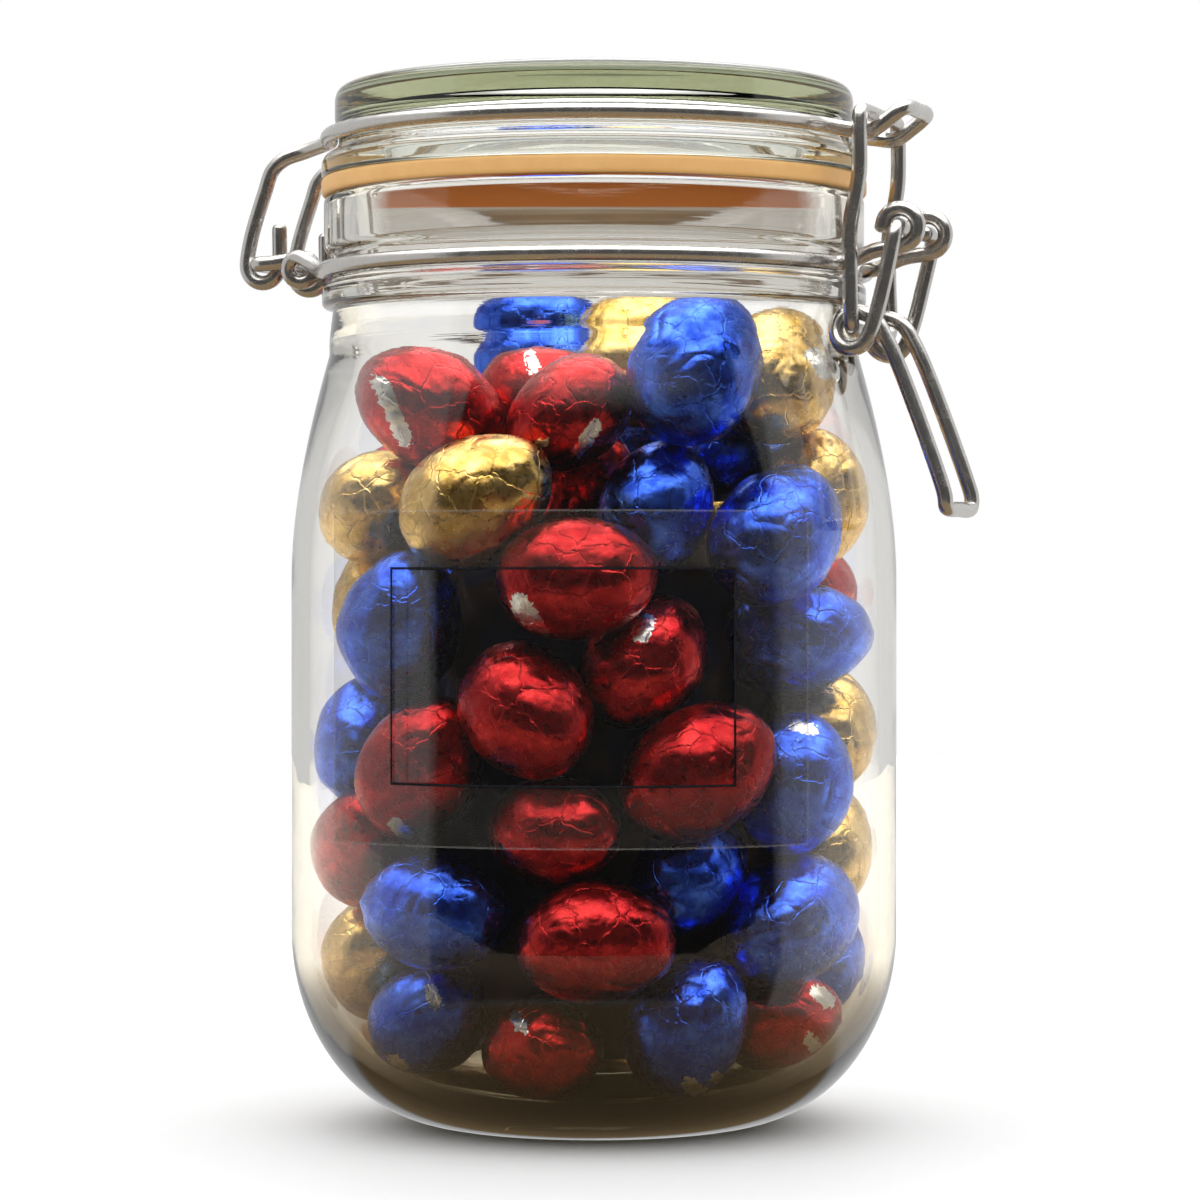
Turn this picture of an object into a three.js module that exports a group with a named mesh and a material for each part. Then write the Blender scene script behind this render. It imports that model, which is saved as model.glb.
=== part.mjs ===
// A clip-top preserving jar, latched shut, filled with foil-wrapped chocolate eggs.
// Millimetres, +Z up. The origin is the centre of the base. The lid hinges at -X and latches at +X,
// and the clear label faces -Y.

import * as THREE from 'three';

const { PI, cos, sin, atan2, hypot, round, abs, min, max } = Math;

// Glass jar
const BODY_RADIUS = 52;
const WALL = 3;
const BASE_FLAT_RADIUS = 25;
const HEEL_HEIGHT = 33;
const BASE_THICKNESS = 5;
const SHOULDER_START = 93;
const SHOULDER_BEND = 109;
const INNER_SHOULDER_LOW = 116;
const INNER_SHOULDER_HIGH = 130;
const NECK_BOTTOM = 133;
const NECK_RADIUS = 45.1;
const BEAD_RADIUS = 46.8;
const BEAD_CENTRE = 141.6;
const RIM_RADIUS = 46.45;
const RIM_BOTTOM = 149.6;
const RIM_TOP = 158.8;
const RIM_ROUND = 1.2;
const MOUTH_RADIUS = 41;
const MOUTH_CHAMFER = 0.9;

// Rubber ring and glass lid
const GAP = 0.3;
const RING_THICKNESS = 2.4;
const RING_INNER_RADIUS = 40.7;
const RING_CHAMFER = 0.5;
const FLANGE_RADIUS = 46.9;
const FLANGE_CHAMFER = 0.8;
const FLANGE_THICKNESS = 2.4;
const FLANGE_BOTTOM = RIM_TOP + RING_THICKNESS + 2 * GAP;
const LID_GROOVE_RADIUS = 43.9;
const LID_GROOVE_HEIGHT = 168.8;
const LID_RADIUS = 44.6;
const LID_TOP = 177.7;
const LID_EDGE_ROUND = 4.8;
const LID_CEILING = 171;
const LID_HOLLOW_RADIUS = 38;
const LID_HOLLOW_ROUND = 2.5;
const LID_LIP = 1.6;

// Bent wire fittings
const WIRE_RADIUS = 1.3;
const OUTER_PLANE = 11.7;
const INNER_PLANE = 8.6;
const TURN_RADIUS = 3.1;
const NECK_WIRE_RADIUS = 47;
const NECK_WIRE_HEIGHT = 145.8;
const LID_WIRE_RADIUS = 45.8;
const PIVOT = [57.1, 151.5];
const KNEE = [49.6, 134.5];
const HINGE = [-57.9, 148];
const HINGE_HOOK_RADIUS = 3.1;
const HINGE_HOOK_PLANE = 10;
const HINGE_ARM_PLANE = 13.4;
const HINGE_COIL = [-48.5, 146.6];
const HINGE_COIL_RADIUS = 2.1;
const NOSE_PLANE = 7.5;
const WIRE_SECTION_SEGMENTS = 4;

// Heap of eggs
const EGG_PITCH = 21;
const ROW_PITCH = 19;
const EGG_DOME_RADIUS = 12;
const HEAP_CLEARANCE = 0.8;
const HEAP_TOP = 141;
const HEAP_CROWN_RADIUS = 27;
const DEEPEST_HOLLOW = 5;
const HEAP_TILT = 0.05;
const HEAP_ROWS = 27;
const HEAP_SEGMENTS = 40;

// Label film: angles are measured from -Y towards +X
const LABEL_CENTRE = 13.4;
const LABEL_SPAN = 97;
const LABEL_BOTTOM = 49.8;
const LABEL_TOP = 104.3;
const LABEL_THICKNESS = 0.25;
const LABEL_SEGMENTS = 9;

const ROUND_SEGMENTS = 32;
const CURVE_PIECES = 3;

const materials = {
  glass: { color: 0xe4ebe4, roughness: 0.03, metalness: 0, transparent: true, opacity: 0.35 },
  rubber: { color: 0xe59a4c, roughness: 0.55, metalness: 0 },
  steel: { color: 0xb4b0ac, roughness: 0.25, metalness: 1 },
  foil: { color: 0x9c1a22, roughness: 0.3, metalness: 1 },
  film: { color: 0xf2f2f0, roughness: 0.1, metalness: 0, transparent: true, opacity: 0.2 },
};

const jar = new THREE.Group();

function addPart(name, geometry, material) {
  const part = new THREE.Mesh(geometry, new THREE.MeshStandardMaterial(materials[material]));
  part.name = name;
  jar.add(part);
}

// A body turned about Z from an outline of (radius, height) points.
function turned(outline, segments = ROUND_SEGMENTS) {
  return new THREE.LatheGeometry(outline, segments).rotateX(PI / 2);
}

// ---- Jar: a rounded heel, straight walls, a sloping shoulder, a beaded neck and a flat rim ----

function innerWall(path, inset) {
  const radius = BODY_RADIUS - WALL - inset;
  const high = [MOUTH_RADIUS - inset, INNER_SHOULDER_HIGH];
  path.bezierCurveTo(...high, radius, INNER_SHOULDER_LOW, radius, SHOULDER_START - 1);
  path.lineTo(radius, HEEL_HEIGHT);
  const heelWidth = radius - BASE_FLAT_RADIUS;
  const heelDrop = HEEL_HEIGHT - BASE_THICKNESS - inset;
  path.absellipse(BASE_FLAT_RADIUS, HEEL_HEIGHT, heelWidth, heelDrop, 0, -PI / 2, true);
  path.lineTo(0, BASE_THICKNESS + inset);
}

function jarOutline() {
  const heelWidth = BODY_RADIUS - BASE_FLAT_RADIUS;
  const path = new THREE.Path().moveTo(0, 0).lineTo(BASE_FLAT_RADIUS, 0);
  path.absellipse(BASE_FLAT_RADIUS, HEEL_HEIGHT, heelWidth, HEEL_HEIGHT, -PI / 2, 0);
  path.lineTo(BODY_RADIUS, SHOULDER_START);
  path.quadraticCurveTo(BODY_RADIUS, SHOULDER_BEND, NECK_RADIUS + 0.4, NECK_BOTTOM - 1.5);
  path.lineTo(NECK_RADIUS, NECK_BOTTOM + 1);
  path.lineTo(NECK_RADIUS, BEAD_CENTRE - 2.4);
  path.quadraticCurveTo(BEAD_RADIUS, BEAD_CENTRE - 2.2, BEAD_RADIUS, BEAD_CENTRE);
  path.quadraticCurveTo(BEAD_RADIUS, BEAD_CENTRE + 2, NECK_RADIUS, BEAD_CENTRE + 2.2);
  path.lineTo(NECK_RADIUS, RIM_BOTTOM - RIM_ROUND);
  path.lineTo(RIM_RADIUS, RIM_BOTTOM);
  path.lineTo(RIM_RADIUS, RIM_TOP - RIM_ROUND);
  path.quadraticCurveTo(RIM_RADIUS, RIM_TOP, RIM_RADIUS - RIM_ROUND, RIM_TOP);
  path.lineTo(MOUTH_RADIUS + MOUTH_CHAMFER, RIM_TOP);
  path.lineTo(MOUTH_RADIUS, RIM_TOP - MOUTH_CHAMFER);
  path.lineTo(MOUTH_RADIUS, NECK_BOTTOM + 5);
  innerWall(path, 0);
  return path.getPoints(CURVE_PIECES);
}

// ---- Lid: a thick disc with a rounded edge, a wire groove, a flange and a hollow underside ----

function lidOutline() {
  const ridge = RING_INNER_RADIUS - 0.5;
  const path = new THREE.Path().moveTo(0, LID_CEILING);
  path.lineTo(LID_HOLLOW_RADIUS - LID_HOLLOW_ROUND, LID_CEILING);
  path.quadraticCurveTo(LID_HOLLOW_RADIUS, LID_CEILING, LID_HOLLOW_RADIUS, LID_CEILING - LID_HOLLOW_ROUND);
  path.lineTo(LID_HOLLOW_RADIUS + 0.4, FLANGE_BOTTOM - LID_LIP);
  path.lineTo(ridge, FLANGE_BOTTOM - LID_LIP);
  path.lineTo(ridge, FLANGE_BOTTOM);
  path.lineTo(FLANGE_RADIUS - FLANGE_CHAMFER, FLANGE_BOTTOM);
  path.lineTo(FLANGE_RADIUS, FLANGE_BOTTOM + FLANGE_CHAMFER);
  path.lineTo(FLANGE_RADIUS, FLANGE_BOTTOM + FLANGE_THICKNESS);
  path.lineTo(LID_GROOVE_RADIUS, LID_GROOVE_HEIGHT - 1.7);
  path.lineTo(LID_GROOVE_RADIUS, LID_GROOVE_HEIGHT + 1.3);
  path.lineTo(LID_RADIUS, LID_GROOVE_HEIGHT + 2.4);
  const edge = LID_RADIUS - LID_EDGE_ROUND;
  path.absarc(edge, LID_TOP - LID_EDGE_ROUND, LID_EDGE_ROUND, 0, PI / 2);
  path.lineTo(0, LID_TOP);
  return path.getPoints(CURVE_PIECES);
}

function rubberRingOutline() {
  const bottom = RIM_TOP + GAP;
  const top = bottom + RING_THICKNESS;
  const path = new THREE.Path().moveTo(RING_INNER_RADIUS, bottom);
  path.lineTo(FLANGE_RADIUS - RING_CHAMFER, bottom);
  path.lineTo(FLANGE_RADIUS, bottom + RING_CHAMFER);
  path.lineTo(FLANGE_RADIUS, top - RING_CHAMFER);
  path.lineTo(FLANGE_RADIUS - RING_CHAMFER, top);
  path.lineTo(RING_INNER_RADIUS, top);
  path.closePath();
  return path.getPoints();
}

// ---- Heap: a turned body pressed in between staggered rows of egg-sized domes ----

function heapOutline() {
  const path = new THREE.Path().moveTo(0, HEAP_TOP);
  path.quadraticCurveTo(HEAP_CROWN_RADIUS, HEAP_TOP, MOUTH_RADIUS, NECK_BOTTOM - 1);
  innerWall(path, HEAP_CLEARANCE);
  return path.getSpacedPoints(HEAP_ROWS).reverse();
}

// How far the heap's surface lies below the tops of the eggs, at an angle and a distance along its outline.
function hollowBetweenEggs(angle, along, radius) {
  const row = round(along / ROW_PITCH);
  const eggs = max(1, round((2 * PI * radius) / EGG_PITCH));
  const turns = (angle / (2 * PI)) * eggs + row / 2;
  const across = ((turns - round(turns)) * 2 * PI * radius) / eggs;
  const up = along - row * ROW_PITCH;
  return (across ** 2 + up ** 2) / (2 * EGG_DOME_RADIUS);
}

function heapGeometry() {
  const outline = heapOutline();
  const geometry = turned(outline, HEAP_SEGMENTS);
  const position = geometry.attributes.position;
  const step = outline[1].distanceTo(outline[2]);
  for (let i = 0; i < position.count; i += 1) {
    const x = position.getX(i);
    const y = position.getY(i);
    const z = position.getZ(i);
    const radius = hypot(x, y);
    const place = i % outline.length;
    if (radius > 1e-3) {
      const hollow = min(DEEPEST_HOLLOW, hollowBetweenEggs(atan2(y, x), place * step, radius));
      const isTop = z > NECK_BOTTOM - 4;
      const shrink = isTop ? 1 : (radius - hollow) / radius;
      position.setXYZ(i, x * shrink, y * shrink, isTop ? z - hollow + HEAP_TILT * y : z);
    }
  }
  return geometry;
}

// ---- Wires: a round section swept along a route that is the same on both sides of the XZ plane ----

const at = (plane, [x, z]) => new THREE.Vector3(x, plane, z);

function arc(centre, radius, from, to, planeFrom, planeTo = planeFrom, pieces = 6) {
  return Array.from({ length: pieces + 1 }, (_, i) => {
    const share = i / pieces;
    const angle = ((from + (to - from) * share) * PI) / 180;
    const plane = planeFrom + (planeTo - planeFrom) * share;
    return at(plane, [centre[0] + radius * cos(angle), centre[1] + radius * sin(angle)]);
  });
}

function ringArc(radius, height, from, to, pieces) {
  return Array.from({ length: pieces + 1 }, (_, i) => {
    const angle = ((from + ((to - from) * i) / pieces) * PI) / 180;
    return new THREE.Vector3(radius * cos(angle), radius * sin(angle), height);
  });
}

function mirrored(half) {
  const other = half.map((p) => new THREE.Vector3(p.x, -p.y, p.z)).reverse();
  const meets = abs(half[half.length - 1].y) < 0.01;
  return half.concat(meets ? other.slice(1) : other);
}

// Its sections fall on the route's own points, many in the bends and few along the straights.
class BentPath extends THREE.CatmullRomCurve3 {
  getUtoTmapping(share) {
    return share;
  }
}

function wire(route) {
  const section = new THREE.Shape().absarc(0, 0, WIRE_RADIUS, 0, 2 * PI);
  const extrudePath = new BentPath(route, false, 'centripetal');
  const options = { curveSegments: WIRE_SECTION_SEGMENTS, steps: route.length - 1, extrudePath };
  return new THREE.ExtrudeGeometry(section, options);
}

// Runs round the neck, curls into an eye each side of the latch, and coils once before the hinge bar.
function neckWireRoute() {
  const [eyeX, eyeZ] = PIVOT;
  const coilTop = HINGE_COIL[1] + HINGE_COIL_RADIUS;
  return mirrored([
    ...arc(PIVOT, TURN_RADIUS, 180, -90, INNER_PLANE, INNER_PLANE, 8),
    at(INNER_PLANE, [eyeX - 4.4, eyeZ - TURN_RADIUS - 0.7]),
    at(INNER_PLANE, [49.2, NECK_WIRE_HEIGHT + 0.5]),
    at(INNER_PLANE + 0.1, [47.5, NECK_WIRE_HEIGHT + 0.1]),
    ...ringArc(NECK_WIRE_RADIUS, NECK_WIRE_HEIGHT, 12, 14, 1),
    ...ringArc(NECK_WIRE_RADIUS, NECK_WIRE_HEIGHT, 22, 152, 12),
    at(18.5, [HINGE_COIL[0] + 3.6, coilTop - 1.4]),
    ...arc(HINGE_COIL, HINGE_COIL_RADIUS, 90, 450, 16.4, HINGE_ARM_PLANE, 8),
    at(HINGE_ARM_PLANE, [HINGE[0] + 3.5, HINGE[1] + 0.1]),
    at(HINGE_ARM_PLANE - 0.4, [HINGE[0] + 0.4, HINGE[1]]),
    at(HINGE_ARM_PLANE - 2.6, HINGE),
    at(0, HINGE),
  ]);
}

// Runs round the lid, turns up into a nose over the latch, and hooks under the hinge bar.
function lidWireRoute() {
  return mirrored([
    at(HINGE_HOOK_PLANE, [HINGE[0] + HINGE_HOOK_RADIUS, HINGE[1] + 6.3]),
    ...arc(HINGE, HINGE_HOOK_RADIUS, 0, -180, HINGE_HOOK_PLANE),
    at(HINGE_HOOK_PLANE, [-60.2, 152.8]),
    at(HINGE_HOOK_PLANE, [-57.5, 161]),
    at(HINGE_HOOK_PLANE, [-56.2, 164.4]),
    at(HINGE_HOOK_PLANE, [-53.8, 166.4]),
    at(HINGE_HOOK_PLANE, [-49.8, 167.6]),
    ...ringArc(LID_WIRE_RADIUS, LID_GROOVE_HEIGHT, 164, 15, 13),
    at(NOSE_PLANE + 0.4, [48, LID_GROOVE_HEIGHT - 0.7]),
    at(NOSE_PLANE, [51.6, LID_GROOVE_HEIGHT - 1.1]),
    at(NOSE_PLANE, [54.6, LID_GROOVE_HEIGHT + 0.7]),
    at(NOSE_PLANE - 0.4, [57, LID_GROOVE_HEIGHT + 2.5]),
    at(NOSE_PLANE - 2.6, [57.7, LID_GROOVE_HEIGHT + 2.9]),
    at(0, [57.7, LID_GROOVE_HEIGHT + 2.9]),
  ]);
}

// Bears on the lid wire, and its two ends turn in through the coils of the lever.
function linkWireRoute() {
  const bar = [51, LID_GROOVE_HEIGHT + 2.1];
  return mirrored([
    at(INNER_PLANE - 2, KNEE),
    at(OUTER_PLANE - 1.4, KNEE),
    at(OUTER_PLANE, [KNEE[0], KNEE[1] + 1.4]),
    at(OUTER_PLANE, [KNEE[0] - 0.2, 143]),
    at(OUTER_PLANE, [KNEE[0] - 0.2, 151.5]),
    at(OUTER_PLANE, [bar[0] - 0.4, 158]),
    at(OUTER_PLANE, [bar[0], 161]),
    at(OUTER_PLANE, [bar[0], bar[1] - 2.2]),
    at(OUTER_PLANE - 0.6, [bar[0], bar[1] - 0.4]),
    at(OUTER_PLANE - 2.2, bar),
    at(0, bar),
  ]);
}

// Pivots in the two eyes, coils round the link's ends and runs down to its finger loop.
function leverWireRoute() {
  const loopEnd = [64.9, 104.8];
  return mirrored([
    at(INNER_PLANE - 2.2, PIVOT),
    at(OUTER_PLANE - 1.4, PIVOT),
    at(OUTER_PLANE, [PIVOT[0] - 0.1, PIVOT[1] - 1.4]),
    at(OUTER_PLANE, [55.2, 142]),
    at(OUTER_PLANE, [54, 137.4]),
    ...arc(KNEE, TURN_RADIUS + 0.1, -15, -90, OUTER_PLANE, OUTER_PLANE, 2),
    ...arc(KNEE, TURN_RADIUS + 0.1, -120, -265, OUTER_PLANE - 0.3, INNER_PLANE, 5),
    at(INNER_PLANE, [52.6, 136.4]),
    at(INNER_PLANE, [54.6, 133.4]),
    at(INNER_PLANE, [57.1, 128]),
    at(INNER_PLANE, [64, 109.6]),
    at(INNER_PLANE, [loopEnd[0], loopEnd[1] + 2]),
    at(INNER_PLANE - 0.6, [loopEnd[0], loopEnd[1] + 0.4]),
    at(INNER_PLANE - 2.2, loopEnd),
    at(0, loopEnd),
  ]);
}

// ---- Label: a clear film on the front of the body ----

function labelGeometry() {
  const inner = BODY_RADIUS + GAP;
  const start = ((LABEL_CENTRE - LABEL_SPAN / 2 - 90) * PI) / 180;
  const end = ((LABEL_CENTRE + LABEL_SPAN / 2 - 90) * PI) / 180;
  const outline = new THREE.Shape().absarc(0, 0, inner + LABEL_THICKNESS, start, end);
  outline.absarc(0, 0, inner, end, start, true);
  const depth = LABEL_TOP - LABEL_BOTTOM;
  const options = { depth, bevelEnabled: false, curveSegments: LABEL_SEGMENTS };
  return new THREE.ExtrudeGeometry(outline, options).translate(0, 0, LABEL_BOTTOM);
}

addPart('jar_glass', turned(jarOutline()), 'glass');
addPart('rubber_ring', turned(rubberRingOutline()), 'rubber');
addPart('lid_glass', turned(lidOutline()), 'glass');
addPart('egg_heap', heapGeometry(), 'foil');
addPart('neck_wire', wire(neckWireRoute()), 'steel');
addPart('lid_wire', wire(lidWireRoute()), 'steel');
addPart('link_wire', wire(linkWireRoute()), 'steel');
addPart('lever_wire', wire(leverWireRoute()), 'steel');
addPart('label_film', labelGeometry(), 'film');

export default jar;
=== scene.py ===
"""A latched clip-top jar full of foil-wrapped chocolate eggs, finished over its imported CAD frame."""

import math

import bmesh
import bpy
import numpy as np
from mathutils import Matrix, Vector


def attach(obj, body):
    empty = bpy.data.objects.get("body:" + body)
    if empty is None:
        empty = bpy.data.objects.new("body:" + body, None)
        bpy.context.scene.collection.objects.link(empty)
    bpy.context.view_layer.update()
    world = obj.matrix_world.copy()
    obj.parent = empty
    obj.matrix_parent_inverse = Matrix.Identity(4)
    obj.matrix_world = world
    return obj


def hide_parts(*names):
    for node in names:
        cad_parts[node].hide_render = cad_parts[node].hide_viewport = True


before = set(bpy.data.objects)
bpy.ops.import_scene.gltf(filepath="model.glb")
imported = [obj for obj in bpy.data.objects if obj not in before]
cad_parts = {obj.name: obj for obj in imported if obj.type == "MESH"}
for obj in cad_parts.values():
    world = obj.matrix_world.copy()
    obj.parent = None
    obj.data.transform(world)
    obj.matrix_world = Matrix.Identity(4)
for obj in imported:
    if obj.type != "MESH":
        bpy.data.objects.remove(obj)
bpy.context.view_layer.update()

MM = 0.001
rng = np.random.default_rng(11)

# The photo's camera: level, its image 1200 pixels wide, the jar's axis and the horizon at AXIS_PIXEL.
PHOTO_WIDTH = 1200
FOCAL_PIXELS = 4154
AXIS_PIXEL = (594, 580)
CAMERA_DISTANCE = 716
CAMERA_HEIGHT = 93
CAMERA_AZIMUTH = math.radians(20)
SENSOR = 36

TOWARDS_CAMERA = np.array([math.sin(CAMERA_AZIMUTH), -math.cos(CAMERA_AZIMUTH), 0.0])
RIGHT = np.array([math.cos(CAMERA_AZIMUTH), math.sin(CAMERA_AZIMUTH), 0.0])
UP = np.array([0.0, 0.0, 1.0])
EYE = TOWARDS_CAMERA * CAMERA_DISTANCE + UP * CAMERA_HEIGHT


def sight_line(px, py):
    """Direction from the eye through a pixel of the photo, 1 long towards the jar's middle."""
    across = (px - AXIS_PIXEL[0]) / FOCAL_PIXELS
    down = (py - AXIS_PIXEL[1]) / FOCAL_PIXELS
    return RIGHT * across - TOWARDS_CAMERA - UP * down


def unit(vectors):
    """Each row of an array, or a single vector, at length 1."""
    return vectors / np.linalg.norm(vectors, axis=-1, keepdims=True)


def make_camera():
    data = bpy.data.cameras.new("camera")
    data.sensor_width = SENSOR
    data.lens = SENSOR * FOCAL_PIXELS / PHOTO_WIDTH
    data.shift_x = (PHOTO_WIDTH / 2 - AXIS_PIXEL[0]) / PHOTO_WIDTH
    data.shift_y = (AXIS_PIXEL[1] - PHOTO_WIDTH / 2) / PHOTO_WIDTH
    data.clip_start = 0.01
    camera = bpy.data.objects.new("camera", data)
    bpy.context.scene.collection.objects.link(camera)
    camera.location = EYE * MM
    camera.rotation_mode = "QUATERNION"
    camera.rotation_quaternion = Vector(-TOWARDS_CAMERA).to_track_quat("-Z", "Y")
    bpy.context.scene.camera = camera


# ---- Node and mesh helpers ----


class Nodes:
    """A material's or world's node tree, with short calls to add, fill and join nodes."""

    def __init__(self, tree):
        tree.nodes.clear()
        self.tree = tree

    def add(self, kind, **settings):
        node = self.tree.nodes.new("ShaderNode" + kind)
        for name, value in settings.items():
            setattr(node, name, value)
        return node

    def put(self, value, socket):
        """Joins another node's output to a socket, or sets the socket to a number, vector or colour."""
        if isinstance(value, bpy.types.NodeSocket):
            self.tree.links.new(value, socket)
        elif socket.type == "RGBA":
            socket.default_value = (*value, 1.0)
        else:
            socket.default_value = value

    def fill(self, node, *values, **named):
        """Puts values in a node's first inputs, and in named ones, with _ for a space in the name."""
        for value, socket in zip(values, node.inputs):
            self.put(value, socket)
        for name, value in named.items():
            self.put(value, node.inputs[name.replace("_", " ")])
        return node

    def math(self, operation, first, second=0.0):
        return self.fill(self.add("Math", operation=operation), first, second).outputs[0]

    def product(self, first, *others):
        for other in others:
            first = self.math("MULTIPLY", first, other)
        return first

    def measure(self, operation, vector, other):
        """One number from two vectors, such as their distance."""
        return self.fill(self.add("VectorMath", operation=operation), vector, other).outputs["Value"]

    def dot(self, vector, direction):
        return self.measure("DOT_PRODUCT", vector, direction)

    def ramp(self, value, low, high, to_low=0.0, to_high=1.0, smooth=True):
        node = self.add("MapRange", interpolation_type="SMOOTHSTEP" if smooth else "LINEAR")
        return self.fill(node, value, low, high, to_low, to_high).outputs[0]

    def ramp_mm(self, value, low, high, to_low=0.0, to_high=1.0):
        """A ramp whose limits are lengths in mm."""
        return self.ramp(value, low * MM, high * MM, to_low, to_high)

    def mix(self, kind, share, first, second, blend="MIX"):
        """Two values mixed. A Mix node has a pair of inputs and an output for each kind of value."""
        node = self.add("Mix", data_type=kind, blend_type=blend)
        place = ("FLOAT", "VECTOR", "RGBA").index(kind)
        for number, value in ((0, share), (2 * place + 2, first), (2 * place + 3, second)):
            self.put(value, node.inputs[number])
        return node.outputs[place]

    def mix_color(self, share, first, second, blend="MIX"):
        return self.mix("RGBA", share, first, second, blend)

    def mix_shader(self, share, first, second):
        return self.fill(self.add("MixShader"), share, first, second).outputs[0]

    def noise(self, vector, scale, detail=3.0, roughness=0.5, distortion=0.0):
        node = self.fill(self.add("TexNoise"), Vector=vector, Scale=scale, Detail=detail)
        return self.fill(node, Roughness=roughness, Distortion=distortion).outputs[0]

    def bump(self, height, distance, strength, under=None):
        """Surface relief, on top of another one where that is given."""
        node = self.fill(self.add("Bump"), Height=height, Distance=distance, Strength=strength)
        if under is not None:
            self.fill(node, Normal=under)
        return node.outputs[0]

    def place(self):
        """Where a point of the piece is, in metres."""
        return self.add("TexCoord").outputs["Object"]

    def parts(self, vector):
        """A vector's X, Y and Z."""
        return self.fill(self.add("SeparateXYZ"), vector).outputs


def material(name, **sockets):
    """A Principled material: its helper, its shader and its output node."""
    made = bpy.data.materials.new(name)
    made.use_nodes = True
    nodes = Nodes(made.node_tree)
    shader = nodes.fill(nodes.add("BsdfPrincipled"), **sockets)
    output = nodes.fill(nodes.add("OutputMaterial"), Surface=shader.outputs[0])
    return made, nodes, shader, output


def add_piece(name, points, faces, look, slot, replaces=()):
    """A smooth mesh of points in mm, riding on the part's one body."""
    mesh = bpy.data.meshes.new(name)
    mesh.from_pydata((np.asarray(points) * MM).tolist(), [], faces)
    mesh.polygons.foreach_set("use_smooth", [True] * len(mesh.polygons))
    mesh.materials.append(look)
    piece = bpy.data.objects.new(name, mesh)
    bpy.context.scene.collection.objects.link(piece)
    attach(piece, "root")
    if replaces:
        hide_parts(*replaces)
    return piece


# ---- Outlines, as lists of (radius, height) in mm ----


def bezier(start, control_a, control_b, end, pieces):
    t = np.linspace(0, 1, pieces + 1)[:, None]
    a, b, c, d = (np.array(p, float) for p in (start, control_a, control_b, end))
    return (1 - t) ** 3 * a + 3 * (1 - t) ** 2 * t * b + 3 * (1 - t) * t**2 * c + t**3 * d


def ellipse(centre, half_width, half_height, start, end, pieces=24):
    angles = np.radians(np.linspace(start, end, pieces + 1))
    radii = centre[0] + half_width * np.cos(angles)
    return np.column_stack([radii, centre[1] + half_height * np.sin(angles)])


def rounded(corners, pieces=5):
    """Straight runs through (radius, height, rounding) corners, each corner rounded off."""
    points = [corners[0][:2]]
    for before, corner, after in zip(corners, corners[1:], corners[2:]):
        here = np.array(corner[:2], float)
        back, ahead = np.array(before[:2]) - here, np.array(after[:2]) - here
        reach = min(corner[2], 0.48 * np.hypot(*back), 0.48 * np.hypot(*ahead))
        if reach < 0.01:
            points.append(here)
            continue
        first = here + back / np.hypot(*back) * reach
        last = here + ahead / np.hypot(*ahead) * reach
        points.extend(bezier(first, (first + 2 * here) / 3, (last + 2 * here) / 3, last, pieces))
    points.append(corners[-1][:2])
    return points


def skin(rings, capped=False):
    """Faces between rings of point numbers, one after another, and flat ends where they are capped."""
    faces = []
    for low, high in zip(rings, rings[1:]):
        for i in range(len(low)):
            j = (i + 1) % len(low)
            corners = [low[i], low[j], high[j], high[i]]
            kept = [c for k, c in enumerate(corners) if c != corners[k - 1]]
            if len(kept) > 2:
                faces.append(kept)
    if capped:
        faces += [list(rings[0])[::-1], list(rings[-1])]
    return faces


def even_steps(line, spacing):
    """Points at even steps along a line of points."""
    along = np.concatenate([[0], np.cumsum(np.linalg.norm(np.diff(line, axis=0), axis=1))])
    steps = np.linspace(0, along[-1], int(along[-1] / spacing) + 1)
    return np.column_stack([np.interp(steps, along, column) for column in line.T])


def turned(outline, segments=180):
    """Points and faces of an outline turned about Z, from axis to axis or closed on itself."""
    angles = np.linspace(0, 2 * math.pi, segments, endpoint=False)
    points, rings = [], []
    for radius, height in outline:
        first = len(points)
        if radius < 1e-6:
            points.append((0.0, 0.0, height))
            rings.append([first] * segments)
        else:
            points.extend((radius * math.cos(a), radius * math.sin(a), height) for a in angles)
            rings.append(range(first, first + segments))
    if outline[0][0] > 1e-6:
        rings.append(rings[0])
    return points, skin(rings)


# ---- Glass, rubber and lid ----

BODY_RADIUS = 52
INNER_RADIUS = 49
BASE_FLAT = 25
HEEL_HEIGHT = 33
SHOULDER_START = 93
NECK_FOOT = (45.5, 131.5)
NECK_RADIUS = 45.1
BEAD_RADIUS = 46.8
BEAD_HEIGHT = 141.6
RIM_RADIUS = 46.45
RIM_BOTTOM = 149.6
RIM_TOP = 158.8
MOUTH_RADIUS = 41
MOUTH_FOOT = 133.6
FLOOR_HEIGHT = 5
CROWN_HEIGHT = 7.2
FLANGE_RADIUS = 46.9
FLANGE_BOTTOM = 161.8
LID_GROOVE = 43.9
LID_WIRE_HEIGHT = 168.8
LID_RADIUS = 44.6
LID_TOP = 177.7
LID_CEILING = 173.6
LID_BORE = 36.5
SEAT_RADIUS = 40.2
SEAT_DROP = 1.6
SEAL_BORE = 40.7
CONTACT = 0.05


def inner_wall():
    """The jar's inside, from the mouth down to the middle of its floor."""
    mouth, body = MOUTH_RADIUS, INNER_RADIUS
    neck = bezier((mouth, MOUTH_FOOT), (mouth, 128), (body, 116), (body, 92), 24)
    heel = ellipse((BASE_FLAT, HEEL_HEIGHT), INNER_RADIUS - BASE_FLAT, HEEL_HEIGHT - FLOOR_HEIGHT, 0, -90)
    floor = bezier((BASE_FLAT, FLOOR_HEIGHT), (17, FLOOR_HEIGHT), (10, CROWN_HEIGHT), (0, CROWN_HEIGHT), 8)
    return np.vstack([neck, heel, floor[1:]])


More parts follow.
